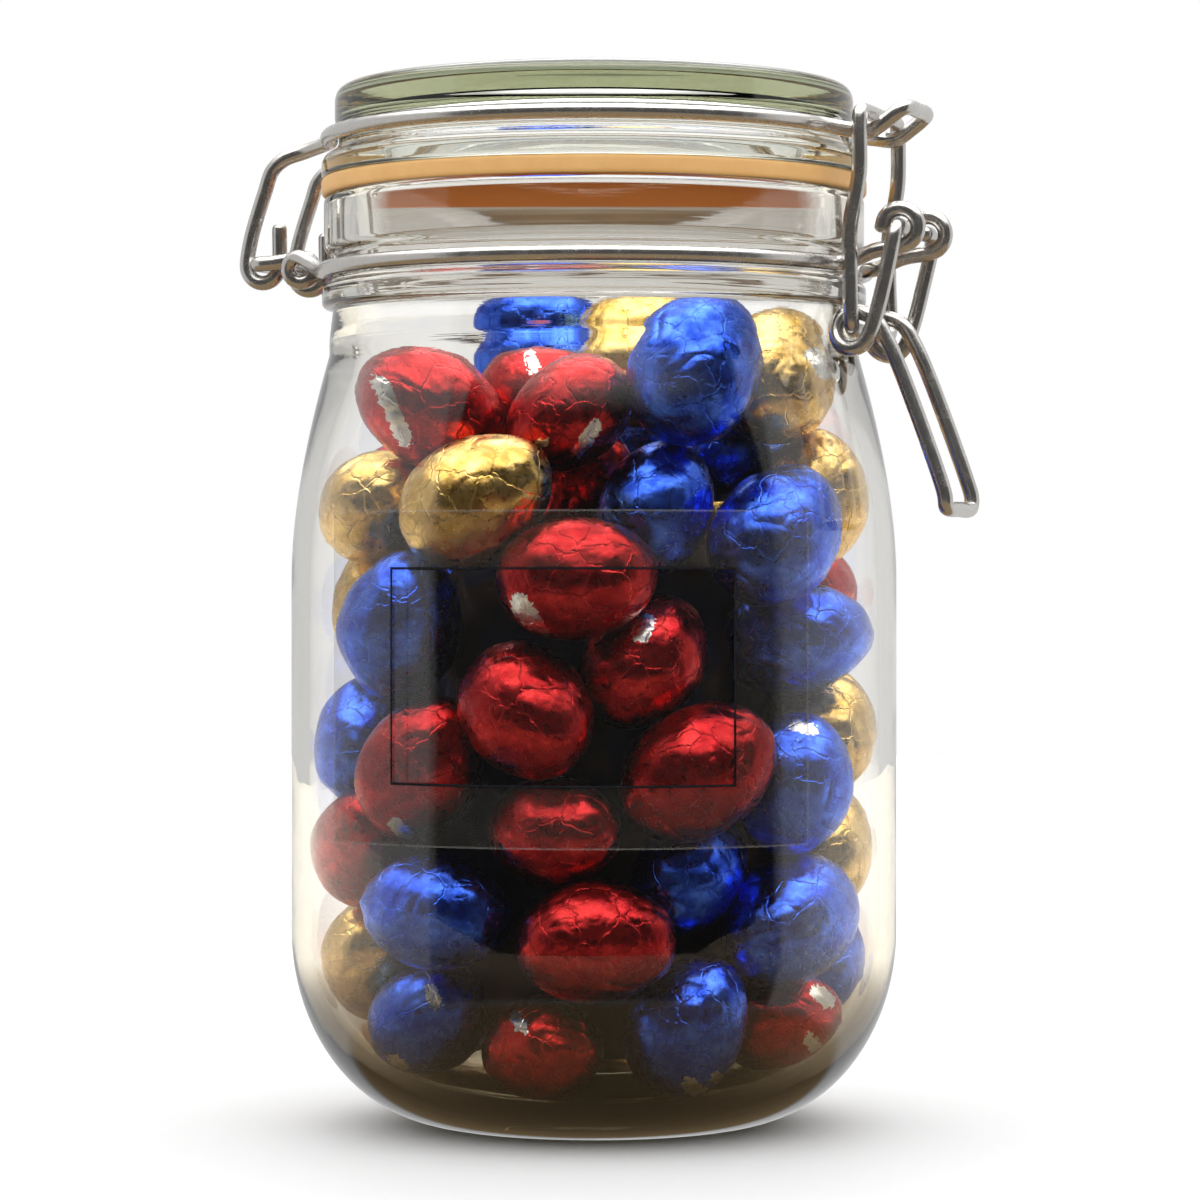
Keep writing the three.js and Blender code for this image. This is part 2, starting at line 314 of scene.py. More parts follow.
def jar_outline():
    foot = bezier((0, 2.4), (12, 2.4), (16, 0.2), (21, 0), 10)
    heel = ellipse((BASE_FLAT, HEEL_HEIGHT), BODY_RADIUS - BASE_FLAT, HEEL_HEIGHT, -90, 0)
    shoulder = bezier((BODY_RADIUS, SHOULDER_START), (BODY_RADIUS, 103.7), (49.8, 116.5), NECK_FOOT, 20)
    neck = rounded([
        (*NECK_FOOT, 0), (NECK_FOOT[0], 134.2, 0.8), (44.9, BEAD_HEIGHT - 2.2, 0.6),
        (BEAD_RADIUS, BEAD_HEIGHT - 1.9, 1.2), (BEAD_RADIUS, BEAD_HEIGHT + 1.8, 1.2),
        (NECK_RADIUS, BEAD_HEIGHT + 2.2, 1), (NECK_RADIUS, RIM_BOTTOM - 1, 1), (RIM_RADIUS, RIM_BOTTOM, 1),
        (RIM_RADIUS, RIM_TOP, 1.4), (MOUTH_RADIUS, RIM_TOP, 1.6), (MOUTH_RADIUS, 147, 2),
        (MOUTH_RADIUS + 0.45, 139.4, 1), (MOUTH_RADIUS, MOUTH_FOOT + 0.4, 0.4),
        (MOUTH_RADIUS, MOUTH_FOOT, 0),
    ])
    return np.vstack([foot, heel, shoulder, neck[1:-1], inner_wall()])


def lid_outline():
    seat = FLANGE_BOTTOM - SEAT_DROP
    return rounded([
        (0, LID_CEILING, 0), (LID_BORE, LID_CEILING, 3), (SEAT_RADIUS - 2, seat, 0.8),
        (SEAT_RADIUS, seat, 0.6), (SEAT_RADIUS, FLANGE_BOTTOM, 0.3), (FLANGE_RADIUS, FLANGE_BOTTOM, 0.8),
        (FLANGE_RADIUS, FLANGE_BOTTOM + 3.6, 1.6), (LID_GROOVE, LID_WIRE_HEIGHT - 1.9, 1.4),
        (LID_GROOVE, LID_WIRE_HEIGHT + 1.6, 1.2), (LID_RADIUS, LID_WIRE_HEIGHT + 2.8, 1),
        (LID_RADIUS, LID_TOP, 5.2), (0, LID_TOP, 0),
    ], 8)


# Heights in mm of the glass's foot tint and of the heel's painted warm shade, of its draw marks and of the
# painted reflections in the mouth's wall, then the radii where those end and how far the lower edge of the
# painted orange band rises towards the sides.
FOOT_TINT = (0.8, 3)
HEEL_PAINTED_SHADE = (8, 45)
NECK_MARKS = (124, 138)
NECK_MARKS_END = (145, 150)
SEAL_REFLECTION_BAND = (153.3, 157.5)
REFLECTION_FOOT = (137.5, 139.5)
REFLECTION_THICKENS = (149, 151.2)
BORE_EDGE = (43, 44)
BAND_TILT = 6
# Colours of the painted reflections: streaky greys, and the rubber seal's orange.
REFLECTION_GREYS = ((0.46, 0.37, 0.26), (1.0, 0.96, 0.88))
SEAL_REFLECTION_ORANGE = (0.86, 0.275, 0.07)


def neck_painted_reflections(nodes, parts, streaks):
    """Painted reflections in the mouth's wall, seen through its glass: the seal's orange, streaky grey below
    it.
    """
    x, y, z = parts
    from_axis = nodes.math("SQRT", nodes.math("ADD", nodes.product(x, x), nodes.product(y, y)))
    on_bore = nodes.ramp_mm(from_axis, *BORE_EDGE, 1.0, 0.0)
    turned_away = nodes.fill(nodes.add("LayerWeight"), Blend=0.5).outputs["Facing"]
    ends = nodes.ramp(turned_away, 0.17, 0.235, 0.93, 0.0)
    from_glass = nodes.add("NewGeometry").outputs["Backfacing"]
    tilted = nodes.math("SUBTRACT", z, nodes.product(turned_away, BAND_TILT * MM))
    orange = nodes.ramp_mm(tilted, SEAL_REFLECTION_BAND[0], SEAL_REFLECTION_BAND[0] + 0.3)
    top = nodes.ramp_mm(z, SEAL_REFLECTION_BAND[1] - 0.3, SEAL_REFLECTION_BAND[1], 1.0, 0.0)
    foot = nodes.ramp_mm(z, *REFLECTION_FOOT)
    thicker = nodes.ramp_mm(z, *REFLECTION_THICKENS, 0.45, 1.0)
    haze_and_painted_reflection = nodes.product(foot, thicker, nodes.ramp(streaks, 0.38, 0.62, 0.6, 0.9))
    amount = nodes.product(nodes.math("MAXIMUM", orange, haze_and_painted_reflection), top, on_bore, ends, from_glass)
    grey = nodes.mix_color(nodes.ramp(streaks, 0.36, 0.64), *REFLECTION_GREYS)
    return amount, nodes.mix_color(orange, grey, SEAL_REFLECTION_ORANGE)


def drawn_waves(nodes, shader, place, height):
    """Slow waves all over the glass and rings of draw marks round its neck. Gives back the marks."""
    stretched = nodes.fill(nodes.add("Mapping"), Vector=place, Scale=(9, 9, 620)).outputs[0]
    marks = nodes.noise(stretched, 1, 3, 0.6)
    on_neck = nodes.product(
        nodes.ramp_mm(height, *NECK_MARKS), nodes.ramp_mm(height, *NECK_MARKS_END, 1.0, 0.1))
    waves = nodes.bump(nodes.noise(place, 45, 2), 0.0006, 0.12)
    nodes.fill(shader, Normal=nodes.bump(nodes.product(marks, on_neck), 0.00011, 0.4, waves))
    return marks


def tint_and_shadow(nodes, surface, output, color, density):
    """Lets the lamps through a glass surface to what it holds, and colours the glass through its length."""
    clear = nodes.fill(nodes.add("BsdfTransparent"), Color=(0.93, 0.96, 0.93))
    shadow_ray = nodes.add("LightPath").outputs["Is Shadow Ray"]
    tint = nodes.fill(nodes.add("VolumeAbsorption"), Color=color, Density=density)
    lit = nodes.mix_shader(shadow_ray, surface, clear.outputs[0])
    nodes.fill(output, Surface=lit, Volume=tint.outputs[0])


def jar_glass_look():
    """Clear green soda glass with painted warm shade towards the heel and painted reflections in the neck.
    """
    look, nodes, shader, output = material("glass", Roughness=0.0, IOR=1.5, Transmission_Weight=1.0)
    place = nodes.place()
    parts = nodes.parts(place)
    marks = drawn_waves(nodes, shader, place, parts[2])
    # Painted shade: the glass is warmer and darker towards the heel.
    heel = nodes.mix_color(nodes.ramp_mm(parts[2], *HEEL_PAINTED_SHADE, 1.0, 0.0), (1, 1, 1), (0.92, 0.85, 0.73))
    foot = nodes.ramp_mm(parts[2], *FOOT_TINT, 1.0, 0.0)
    nodes.fill(shader, Base_Color=nodes.mix_color(foot, heel, (0.50, 0.66, 0.42)))
    amount, colour = neck_painted_reflections(nodes, parts, marks)
    # The painted reflections, as a diffuse layer on the neck's inner faces.
    haze_and_painted_reflection = nodes.fill(nodes.add("BsdfDiffuse"), Color=colour)
    surface = nodes.mix_shader(amount, shader.outputs[0], haze_and_painted_reflection.outputs[0])
    tint_and_shadow(nodes, surface, output, (0.62, 0.58, 0.42), 36)
    return look


def lid_glass_look():
    """Clear glass of a deeper green than the jar's."""
    look, nodes, shader, output = material(
        "lid_glass", Base_Color=(1, 1, 1), Roughness=0.0, IOR=1.5, Transmission_Weight=1.0)
    place = nodes.place()
    drawn_waves(nodes, shader, place, nodes.parts(place)[2])
    tint_and_shadow(nodes, shader.outputs[0], output, (0.30, 0.365, 0.13), 22)
    return look


def rubber_look():
    """Pale orange rubber, a little mottled and matt."""
    look, nodes, shader, _ = material(
        "rubber", Roughness=0.5, Subsurface_Weight=0.15, Subsurface_Scale=0.002,
        Subsurface_Radius=(1.0, 0.5, 0.25))
    place = nodes.place()
    mottled = nodes.mix_color(nodes.noise(place, 260, 4), (0.64, 0.34, 0.105), (0.75, 0.45, 0.165))
    nodes.fill(shader, Base_Color=mottled, Normal=nodes.bump(nodes.noise(place, 1800, 2), 0.0001, 0.4))
    return look


def make_glassware():
    add_piece("jar", *turned(jar_outline()), jar_glass_look(), "glass", ["jar_glass"])
    add_piece("lid", *turned(lid_outline()), lid_glass_look(), "glass", ["lid_glass"])
    low, high = RIM_TOP - CONTACT, FLANGE_BOTTOM + CONTACT
    middle = (low + high) / 2
    ring = rounded([
        (SEAL_BORE, middle, 0), (SEAL_BORE, low, 0.4), (FLANGE_RADIUS, low, 0.9),
        (FLANGE_RADIUS, high, 0.9), (SEAL_BORE, high, 0.4), (SEAL_BORE, middle, 0),
    ])[:-1]
    add_piece("rubber_seal", *turned(ring), rubber_look(), "rubber", ["rubber_ring"])


# ---- Bent wire: routes on one side of the XZ plane, as in the CAD, mirrored to the other ----

WIRE_RADIUS = 1.3
WIRE_STEP = 0.6
DOME_SHARE = 0.7
OUTER_PLANE = 11.7
INNER_PLANE = 8.6
NECK_WIRE_RADIUS = 47
NECK_WIRE_HEIGHT = 145.8
LID_WIRE_RADIUS = 45.8
PIVOT = (57.1, 151.5)
KNEE = (49.6, 134.5)
HINGE = (-57.9, 148)
HOOK_RADIUS = 3.1
HOOK_PLANE = 10
ARM_PLANE = 13.4
COIL = (-48.5, 146.6)
COIL_RADIUS = 2.1
EYE_RADIUS = 3.1
LOOP_END = (64.8, 104.8)


def run(plane, *places):
    """Points at one distance from the mirror plane, each given as (x, z)."""
    return [(x, plane, z) for x, z in places]


def arc(centre, radius, start, end, plane_start, plane_end=None, pieces=8):
    plane_end = plane_start if plane_end is None else plane_end
    x, z = ellipse(centre, radius, radius, start, end, pieces).T
    return list(zip(x, np.linspace(plane_start, plane_end, pieces + 1), z))


def ring_arc(radius, height, start, end, pieces):
    x, y = ellipse((0, 0), radius, radius, start, end, pieces).T
    return list(zip(x, y, [height] * (pieces + 1)))


def mirrored(half):
    other = [(x, -y, z) for x, y, z in reversed(half)]
    return half + (other[1:] if abs(half[-1][1]) < 0.01 else other)


def neck_wire_route():
    """From the lever's eye round the neck and the coil behind it to the hinge bar."""
    eye_x, eye_z = PIVOT
    coil_x, coil_z = COIL
    hinge_x, hinge_z = HINGE
    return mirrored([
        *arc(PIVOT, EYE_RADIUS, 180, -90, INNER_PLANE),
        *run(INNER_PLANE, (eye_x - 4.4, eye_z - EYE_RADIUS - 0.7), (49.2, NECK_WIRE_HEIGHT + 0.5)),
        *run(INNER_PLANE + 0.1, (47.5, NECK_WIRE_HEIGHT + 0.1)),
        *ring_arc(NECK_WIRE_RADIUS, NECK_WIRE_HEIGHT, 12, 14, 1),
        *ring_arc(NECK_WIRE_RADIUS, NECK_WIRE_HEIGHT, 22, 152, 24),
        *run(18.5, (coil_x + 3.6, coil_z + 0.7)),
        *arc(COIL, COIL_RADIUS, 90, 450, 16.4, ARM_PLANE),
        *run(ARM_PLANE, (hinge_x + 3.5, hinge_z + 0.1)),
        *run(ARM_PLANE - 0.4, (hinge_x + 0.4, hinge_z)),
        *run(ARM_PLANE - 2.6, HINGE),
        *run(0, HINGE),
    ])


def lid_wire_route():
    """From the hook on the hinge bar up and round the lid's groove to the nose in front."""
    nose = (57.7, LID_WIRE_HEIGHT + 2.9)
    return mirrored([
        *run(HOOK_PLANE, (HINGE[0] + HOOK_RADIUS, HINGE[1] + 6.3)),
        *arc(HINGE, HOOK_RADIUS, 0, -180, HOOK_PLANE),
        *run(HOOK_PLANE, (-60.2, 152.8), (-57.5, 161), (-56.2, 164.4), (-53.8, 166.4), (-49.8, 167.6)),
        *ring_arc(LID_WIRE_RADIUS, LID_WIRE_HEIGHT, 164, 15, 26),
        *run(7.9, (48, LID_WIRE_HEIGHT - 0.7)),
        *run(7.5, (51.6, LID_WIRE_HEIGHT - 1.1), (54.6, LID_WIRE_HEIGHT + 0.7)),
        *run(7.1, (57, LID_WIRE_HEIGHT + 2.5)),
        *run(4.9, nose),
        *run(0, nose),
    ])


def link_wire_route():
    """From the lever's knee up outside everything to the bar over the nose."""
    knee_x, knee_z = KNEE
    bar_x, bar_z = 51, LID_WIRE_HEIGHT + 2.1
    return mirrored([
        *run(INNER_PLANE - 2, KNEE),
        *run(OUTER_PLANE - 1.4, KNEE),
        *run(OUTER_PLANE, (knee_x, knee_z + 1.4), (knee_x - 0.2, 143), (knee_x - 0.2, 151.5),
             (bar_x - 0.4, 158), (bar_x, 161), (bar_x, bar_z - 2.2)),
        *run(OUTER_PLANE - 0.6, (bar_x, bar_z - 0.4)),
        *run(OUTER_PLANE - 2.2, (bar_x, bar_z)),
        *run(0, (bar_x, bar_z)),
    ])


def lever_wire_route():
    """From its pivot down round the knee and on to the finger loop's end."""
    pivot_x, pivot_z = PIVOT
    loop_x, loop_z = LOOP_END
    return mirrored([
        *run(INNER_PLANE - 2.2, PIVOT),
        *run(OUTER_PLANE - 1.4, PIVOT),
        *run(OUTER_PLANE, (pivot_x - 0.1, pivot_z - 1.4), (55.2, 142), (54, 137.4)),
        *arc(KNEE, EYE_RADIUS + 0.1, -15, -90, OUTER_PLANE, pieces=2),
        *arc(KNEE, EYE_RADIUS + 0.1, -120, -265, OUTER_PLANE - 0.3, INNER_PLANE, 5),
        *run(INNER_PLANE, (52.6, 136.4), (54.6, 133.4), (57.1, 128), (64, 109.6), (loop_x, loop_z + 2)),
        *run(INNER_PLANE - 0.6, (loop_x, loop_z + 0.4)),
        *run(INNER_PLANE - 2.2, LOOP_END),
        *run(0, LOOP_END),
    ])


def part_way(t, start, end, first, last):
    """From the first point at t = start to the last at t = end, in a straight line."""
    return (end - t) / (end - start) * first + (t - start) / (end - start) * last


def smooth_line(route, spacing):
    """A centripetal Catmull-Rom curve through the route's points, at even steps."""
    points = np.array(route, float)
    points = np.vstack([2 * points[0] - points[1], points, 2 * points[-1] - points[-2]])
    dense = []
    for p0, p1, p2, p3 in zip(points, points[1:], points[2:], points[3:]):
        t1 = math.sqrt(np.linalg.norm(p1 - p0))
        t2 = t1 + math.sqrt(np.linalg.norm(p2 - p1))
        t3 = t2 + math.sqrt(np.linalg.norm(p3 - p2))
        t = np.linspace(t1, t2, 24, endpoint=False)[:, None]
        middle = part_way(t, t1, t2, p1, p2)
        early = part_way(t, 0, t2, part_way(t, 0, t1, p0, p1), middle)
        late = part_way(t, t1, t3, middle, part_way(t, t2, t3, p2, p3))
        dense.extend(part_way(t, t1, t2, early, late))
    return even_steps(np.array([*dense, points[-2]]), spacing)


def swept(line, radius, sides=16):
    """A round rod along a line of points, with domed ends."""
    ahead = unit(np.gradient(line, axis=0))
    side = np.cross(ahead[0], UP if abs(ahead[0][2]) < 0.9 else RIGHT)
    angles = np.linspace(0, 2 * math.pi, sides, endpoint=False)
    dome = [(radius * DOME_SHARE * math.sin(e), math.cos(e)) for e in np.radians([25, 50, 72])]
    start_caps = [(line[0] - ahead[0] * out, ahead[0], share) for out, share in dome[::-1]]
    end_caps = [(line[-1] + ahead[-1] * out, ahead[-1], share) for out, share in dome]
    stations = [*start_caps, *((p, d, 1.0) for p, d in zip(line, ahead)), *end_caps]
    points = []
    for place, direction, share in stations:
        side = unit(side - direction * np.dot(side, direction))
        other = np.cross(direction, side)
        points.extend(place + radius * share * (math.cos(a) * side + math.sin(a) * other) for a in angles)
    return points, skin([range(k, k + sides) for k in range(0, len(points), sides)], capped=True)


def steel_look():
    """Bright drawn wire with small dull spots and a faint grain."""
    look, nodes, shader, _ = material("steel", Metallic=0.93)
    place = nodes.place()
    spots = nodes.noise(place, 420, 4, 0.6)
    steel = nodes.mix_color(spots, (0.54, 0.52, 0.495), (0.66, 0.64, 0.61))
    grain = nodes.bump(nodes.noise(place, 900, 3), 0.0001, 0.15)
    nodes.fill(shader, Base_Color=steel, Roughness=nodes.ramp(spots, 0.3, 0.75, 0.2, 0.3), Normal=grain)
    return look


def make_wires():
    steel = steel_look()
    routes = {
        "neck_wire": neck_wire_route(), "lid_wire": lid_wire_route(),
        "link_wire": link_wire_route(), "lever_wire": lever_wire_route(),
    }
    for node, route in routes.items():
        rod = swept(smooth_line(route, WIRE_STEP), WIRE_RADIUS)
        add_piece(f"{node}_bent", *rod, steel, "steel", [node])


# ---- Label: a clear film with a thin printed frame ----

FILM_ANGLES = (-55.3, 42.0)
FILM_HEIGHTS = (49.8, 104.3)
FRAME_ANGLES = (-39.3, 26.0)
FRAME_HEIGHTS = (59.7, 95.1)
FILM_RADIUS = 52.06
FILM_THICKNESS = 0.2
PATCH_STEP = 1.0
LINE_WIDTH = 0.42
INK_GAP = 0.01
INK_THICKNESS = 0.03
GLUE_HAZE = 0.11
WINDOW_HAZE = 0.02
EDGE_HAZE = 0.17


def curved_patch(angles, heights, radius, thickness):
    """A closed piece of cylinder wall. Angles are from the camera's side, positive to its right."""
    count = max(2, int((angles[1] - angles[0]) / PATCH_STEP)) + 1
    turn = np.radians(np.linspace(*angles, count))
    out = np.cos(turn)[:, None] * TOWARDS_CAMERA + np.sin(turn)[:, None] * RIGHT
    low, high = heights
    corners = [(radius, low), (radius + thickness, low), (radius + thickness, high), (radius, high)]
    points = np.array([direction * r + UP * h for direction in out for r, h in corners])
    return points, skin([range(k, k + 4) for k in range(0, len(points), 4)], capped=True)


def joined(parts):
    points, faces = [], []
    for some_points, some_faces in parts:
        faces.extend([[i + len(points) for i in face] for face in some_faces])
        points.extend(some_points)
    return points, faces


def inside_band(nodes, value, low, high, edge):
    """1 where a value lies between two limits, with soft edges."""
    rising = nodes.ramp(value, low - edge, low + edge)
    falling = nodes.ramp(value, high - edge, high + edge, 1.0, 0.0)
    return nodes.product(rising, falling)


def inside_area(nodes, angle, height, angles, heights, edges, margin=(0.0, 0.0)):
    """1 inside a stretch of the film in degrees and mm. Edges and margin are in radians and metres."""
    left, right = np.radians(angles)
    low, high = (h * MM for h in heights)
    across = inside_band(nodes, angle, left + margin[0], right - margin[0], edges[0])
    return nodes.product(inside_band(nodes, height, low + margin[1], high - margin[1], edges[1]), across)


def film_look():
    """Clear film, a little dull outside its printed frame, where the glue is, and pale at its cut edge."""
    look, nodes, shader, _ = material("film", Roughness=0.35, IOR=1.2)
    place = nodes.place()
    angle = nodes.math("ARCTAN2", nodes.dot(place, RIGHT), nodes.dot(place, TOWARDS_CAMERA))
    height = nodes.parts(place)[2]
    window = inside_area(nodes, angle, height, FRAME_ANGLES, FRAME_HEIGHTS, (0.004, 0.0002))
    inner = inside_area(nodes, angle, height, FILM_ANGLES, FILM_HEIGHTS, (0.002, 0.0001), (0.005, 0.0003))
    rim = nodes.math("SUBTRACT", 1.0, inner)
    haze_and_painted_reflection = nodes.ramp(nodes.noise(place, 70, 4, 0.6), 0.3, 0.7, 0.8, 1.2)
    haze = nodes.product(nodes.ramp(window, 0, 1, GLUE_HAZE, WINDOW_HAZE), haze_and_painted_reflection)
    colour = nodes.mix_color(rim, (0.07, 0.065, 0.055), (0.32, 0.32, 0.30))
    nodes.fill(shader, Alpha=nodes.math("MAXIMUM", haze, nodes.product(rim, EDGE_HAZE)), Base_Color=colour)
    return look


def ink_look():
    """Black ink, printed a little unevenly."""
    look, nodes, shader, _ = material("ink", Roughness=0.9, IOR=1.1, Alpha=0.92)
    black = nodes.mix_color(nodes.noise(nodes.place(), 600), (0.006, 0.006, 0.008), (0.02, 0.02, 0.024))
    nodes.fill(shader, Base_Color=black)
    return look


def make_label():
    film = curved_patch(FILM_ANGLES, FILM_HEIGHTS, FILM_RADIUS, FILM_THICKNESS)
    add_piece("label_sheet", *film, film_look(), "film", ["label_film"])
    radius = FILM_RADIUS + FILM_THICKNESS + INK_GAP
    wide = math.degrees(LINE_WIDTH / radius)
    left, right = FRAME_ANGLES
    low, high = FRAME_HEIGHTS
    across, upright = (left, right), (low + LINE_WIDTH, high - LINE_WIDTH)
    lines = [
        (across, (low, upright[0])), (across, (upright[1], high)),
        ((left, left + wide), upright), ((right - wide, right), upright),
    ]
    strips = [curved_patch(*line, radius, INK_THICKNESS) for line in lines]
    add_piece("label_frame", *joined(strips), ink_look(), "film")


# ---- Eggs ----

EGG_LONG = 13.25
EGG_WIDE = 10.25
EGG_HALVES = np.array([EGG_LONG, EGG_WIDE, EGG_WIDE])
BLUNTNESS = (0.03, 0.1)
EGG_COUNT = 77
EGG_CLEARANCE = 0.1
NEAR_WALL = 4
WALL_STEP = 0.83

# Eggs out of sight: their size beside a full one, then how far behind the jar's middle they are, and the
# heights and distances they keep to, in mm.
SPARE_SIZE = (0.94, 1.0)
SPARE_BEHIND = 10
SPARE_BOTTOM = 16
SPARE_TOP = 117
SPARE_TOP_AT_SIDES = 109
SPARE_TOP_HALF_WIDTH = 25
SPARE_NEAREST = 30
SPARE_FARTHEST = 39
SPARE_TO_SEEN = 13
SPARE_TO_SPARE = 10

# Eggs in sight: colour, middle in the photo, half length and half width in its pixels, turn in degrees
# anticlockwise, how far inside the wall in mm, and True if it is on the far side of the jar's middle.
SEEN = [
    ("red", (424, 400), 78, 60, -28, 0),
    ("blue", (542, 358), 76, 54, -4, 36),
    ("red", (528, 398), 68, 54, 30, 14),
    ("red", (576, 414), 70, 54, 40, 5),
    ("gold", (634, 365), 74, 56, 10, 34),
    ("blue", (698, 374), 78, 65, 65, 0),
    ("gold", (802, 384), 62, 57, 60, 6, True),
    ("blue", (754, 440), 66, 56, 20, 8),
    ("blue", (657, 503), 72, 56, 70, 7),
    ("blue", (792, 530), 76, 62, 60, 0),
    ("gold", (369, 505), 66, 56, 30, 0, True),
    ("gold", (480, 497), 81, 64, 35, 0),
    ("gold", (812, 492), 76, 56, 90, 0, True),
    ("red", (776, 446), 60, 52, 20, 0, True),
    ("red", (577, 578), 81, 62, 5, 0),
    ("blue", (405, 625), 76, 60, 75, 0),
    ("gold", (386, 610), 66, 56, 90, 0, True),
    ("red", (638, 662), 74, 60, 50, 5),
    ("blue", (800, 642), 78, 58, 10, 0),
    ("red", (814, 583), 60, 52, 0, 1, True),
    ("red", (521, 714), 74, 64, -50, 0),
    ("red", (416, 770), 76, 60, 65, 0),
    ("blue", (371, 735), 66, 56, 80, 0, True),
    ("red", (698, 772), 84, 66, 35, 0),
    ("gold", (820, 725), 64, 58, 90, 0, True),
    ("blue", (792, 785), 76, 56, 80, 0),
    ("red", (556, 832), 66, 56, 0, 5),
    ("red", (366, 850), 62, 54, 80, 0, True),
    ("gold", (400, 868), 62, 54, 0, 12),
    ("blue", (441, 912), 74, 59, -8, 0),
    ("blue", (690, 875), 66, 54, 50, 9),
    ("gold", (820, 852), 66, 56, 70, 0, True),
    ("blue", (790, 918), 74, 62, 45, 0),
    ("gold", (368, 950), 68, 56, 90, 0, True),
    ("red", (597, 941), 83, 62, 4, 0),
    ("blue", (428, 1028), 68, 58, 45, 0),
    ("red", (544, 1054), 62, 55, 10, 0),
    ("blue", (688, 1029), 78, 58, 60, 0),
    ("red", (785, 1024), 66, 52, 15, 0),
    ("blue", (815, 972), 66, 54, 60, 0, True),
    ("red", (578, 486), 68, 56, 60, 24),
    ("blue", (640, 440), 62, 56, 0, 4, True),
]


def wall_curve():
    """Points down the inside of the wall and over the floor, with the direction inwards at each."""
    line = np.array([(MOUTH_RADIUS, 165), (MOUTH_RADIUS, 150), *inner_wall()], float)
    points = even_steps(line, WALL_STEP)
    ahead = unit(np.gradient(points, axis=0))
    return points, np.column_stack([ahead[:, 1], -ahead[:, 0]])


WALL, INWARDS = wall_curve()


def inside_wall(flat):
    """How far (radius, height) points are from the wall, positive inside, and which way is inwards there."""
    nearest = ((flat[:, None, :] - WALL[None, :, :]) ** 2).sum(2).argmin(1)
    return ((flat - WALL[nearest]) * INWARDS[nearest]).sum(1), INWARDS[nearest]


def wall_radius(height):
    order = np.argsort(WALL[:, 1])
    return float(np.interp(height, WALL[order, 1], WALL[order, 0]))


def egg_in_sight(middle, half_long, half_wide, turn, inset, far=False):
    """Centre and long direction, in mm, and size of an egg that the photo shows."""
    sight = sight_line(*middle)
    reach = CAMERA_DISTANCE
    for _ in range(4):
        here = EYE + sight * reach
        radius = wall_radius(here[2]) - EGG_WIDE - inset
        a, b = sight[:2] @ sight[:2], 2 * EYE[:2] @ sight[:2]
        c = EYE[:2] @ EYE[:2] - radius**2
        root = math.sqrt(max(0.0, b * b - 4 * a * c))
        reach = (-b + (root if far else -root)) / (2 * a)
    centre = EYE + sight * reach
    scale = reach / FOCAL_PIXELS
    size = min(1.04, max(0.86, half_wide * scale / EGG_WIDE))
    wide, long = EGG_WIDE * size, EGG_LONG * size
    share = ((half_long * scale) ** 2 - wide**2) / (long**2 - wide**2)
    flat = math.sqrt(min(1.0, max(0.0, share)))
    depth = math.sqrt(1 - flat * flat)
    angle = math.radians(turn)
    across = RIGHT * math.cos(angle) + UP * math.sin(angle)
    out = centre * (1, 1, 0) / max(1e-6, np.hypot(*centre[:2]))
    choices = [across * flat + TOWARDS_CAMERA * depth * sign for sign in (-1, 1)]
    return centre, min(choices, key=lambda axis: abs(axis @ out)), size


def spare_eggs(count, seen):
    """Rough starting places for the eggs out of sight, clear of the ones in sight."""
    places = []
    while len(places) < count:
        turn = rng.uniform(0, 2 * math.pi)
        height = rng.uniform(SPARE_BOTTOM, SPARE_TOP)
        radius = rng.uniform(SPARE_NEAREST, SPARE_FARTHEST)
        place = np.array([radius * math.cos(turn), radius * math.sin(turn), height])
        in_front = place @ TOWARDS_CAMERA > -SPARE_BEHIND
        to_seen = min(np.linalg.norm(seen - place, axis=1))
        to_spare = min((np.linalg.norm(place - p) for p in places), default=math.inf)
        if not in_front and to_seen > SPARE_TO_SEEN and to_spare > SPARE_TO_SPARE:
            places.append(place)
    return np.array(places)


# While the heap settles, an egg is three balls in a row. Each round clears a share of every overlap.
BALL_OFFSETS = np.array([-5.0, 0.0, 5.0])
BALL_RADII = np.array([8.3, EGG_WIDE - 0.1, 8.3])
ROUNDS = 420
SINKING_ROUNDS = 315
UNHELD_ROUNDS = 40
SINK = 0.12
EGG_PUSH = 0.35
WALL_PUSH = 0.6
WALL_GAP = 0.25
SPARE_PUSH = 0.3
TURN_RESISTANCE = 40
SEEN_YIELD = 0.25
SEEN_SLIP = 0.2
SEEN_RETURN = 0.12
SEEN_DEPTH_FREEDOM = 0.9


def egg_pushes(balls, size, share, apart):
    """Moves that take the balls of different eggs off each other."""
    between = balls[:, None, :] - balls[None, :, :]
    distance = np.linalg.norm(between, axis=2) + 1e-9
    overlap = np.where(apart, np.maximum(0, size[:, None] + size[None, :] - distance), 0)
    return ((overlap * share * EGG_PUSH / distance)[:, :, None] * between).sum(1)


def wall_pushes(balls, size):
    """Moves that take the balls off the glass."""
    radial = np.hypot(balls[:, 0], balls[:, 1]) + 1e-9
    inside, inwards = inside_wall(np.column_stack([radial, balls[:, 2]]))
    off_wall = np.maximum(0, size + WALL_GAP - inside)[:, None] * inwards
    return np.column_stack([
        off_wall[:, 0] * balls[:, 0] / radial, off_wall[:, 0] * balls[:, 1] / radial, off_wall[:, 1],
    ]) * WALL_PUSH


def keep_out_of_sight(spare):
    """Takes the unseen eggs behind the seen ones, off the core and under the top of the heap."""
    ahead = spare @ TOWARDS_CAMERA
    spare -= np.maximum(0, ahead + SPARE_BEHIND)[:, None] * TOWARDS_CAMERA * SPARE_PUSH
    deep = np.hypot(spare[:, 0], spare[:, 1])
    outward = spare[:, :2] / (deep[:, None] + 1e-6)
    spare[:, :2] += np.maximum(0, SPARE_NEAREST - deep)[:, None] * outward * SPARE_PUSH
    top = np.where(np.abs(spare @ RIGHT) < SPARE_TOP_HALF_WIDTH, SPARE_TOP, SPARE_TOP_AT_SIDES)
    spare[:, 2] = np.minimum(spare[:, 2], top)


